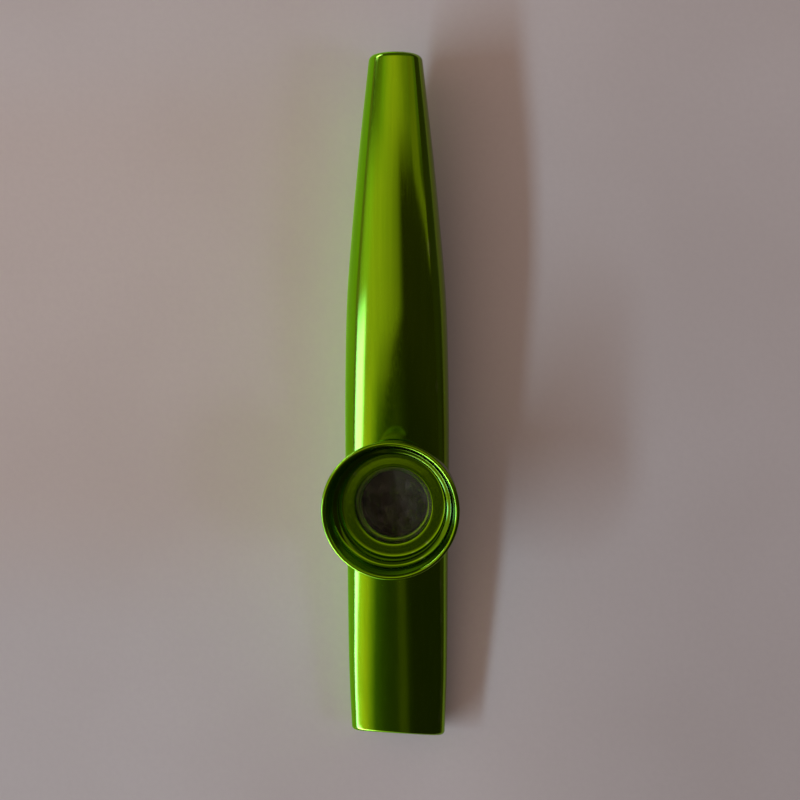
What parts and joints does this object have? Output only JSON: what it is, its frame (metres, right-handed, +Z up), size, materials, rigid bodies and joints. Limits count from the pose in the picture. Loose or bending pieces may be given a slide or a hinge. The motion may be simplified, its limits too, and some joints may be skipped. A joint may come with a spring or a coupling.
{
  "type": "kazoo",
  "caption": "Metal kazoo: tapered tube with an oval mouthpiece and round outlet, and a flared turret cup that screws down over a buzzing film membrane.",
  "frame": {"origin": "centre of the bounding box's bottom face, on the table that the kazoo rests on", "axes": "+Z up from the table, +Y towards the round outlet, the mouthpiece at -Y; the tube's axis is pitched up towards the outlet by 3.15 degrees, as it rests on its belly and the mouthpiece's lower lip"},
  "size_m": [0.023, 0.1202, 0.0241],
  "materials": {
    "anodised_tube": "bright anodised, yellow-green",
    "anodised_turret": "bright anodised, yellow-green, turned",
    "carrier_plastic": "satin",
    "membrane_film": "thin clear film"
  },
  "bodies": {
    "tube": {"body_tube": "anodised_tube", "turret_collar": "anodised_turret"},
    "membrane": {"membrane_ring": "carrier_plastic", "membrane_film": "membrane_film"},
    "cap": {"turret_cap": "anodised_turret"}
  },
  "joints": [
    {"name": "cap_turn", "type": "hinge", "parent": "tube", "child": "membrane", "pos_m": [0, -0.01799, 0.01529], "axis": [0, -0.0552, 0.9985], "range_deg": [0, 1800]},
    {"name": "cap_lift", "type": "slide", "parent": "membrane", "child": "cap", "axis": [0, -0.0552, 0.9985], "range_m": [0, 0.005]}
  ],
  "couplings": [
    {"joint": "cap_lift", "follows": "cap_turn", "m_per_rad": 0.00015915}
  ]
}
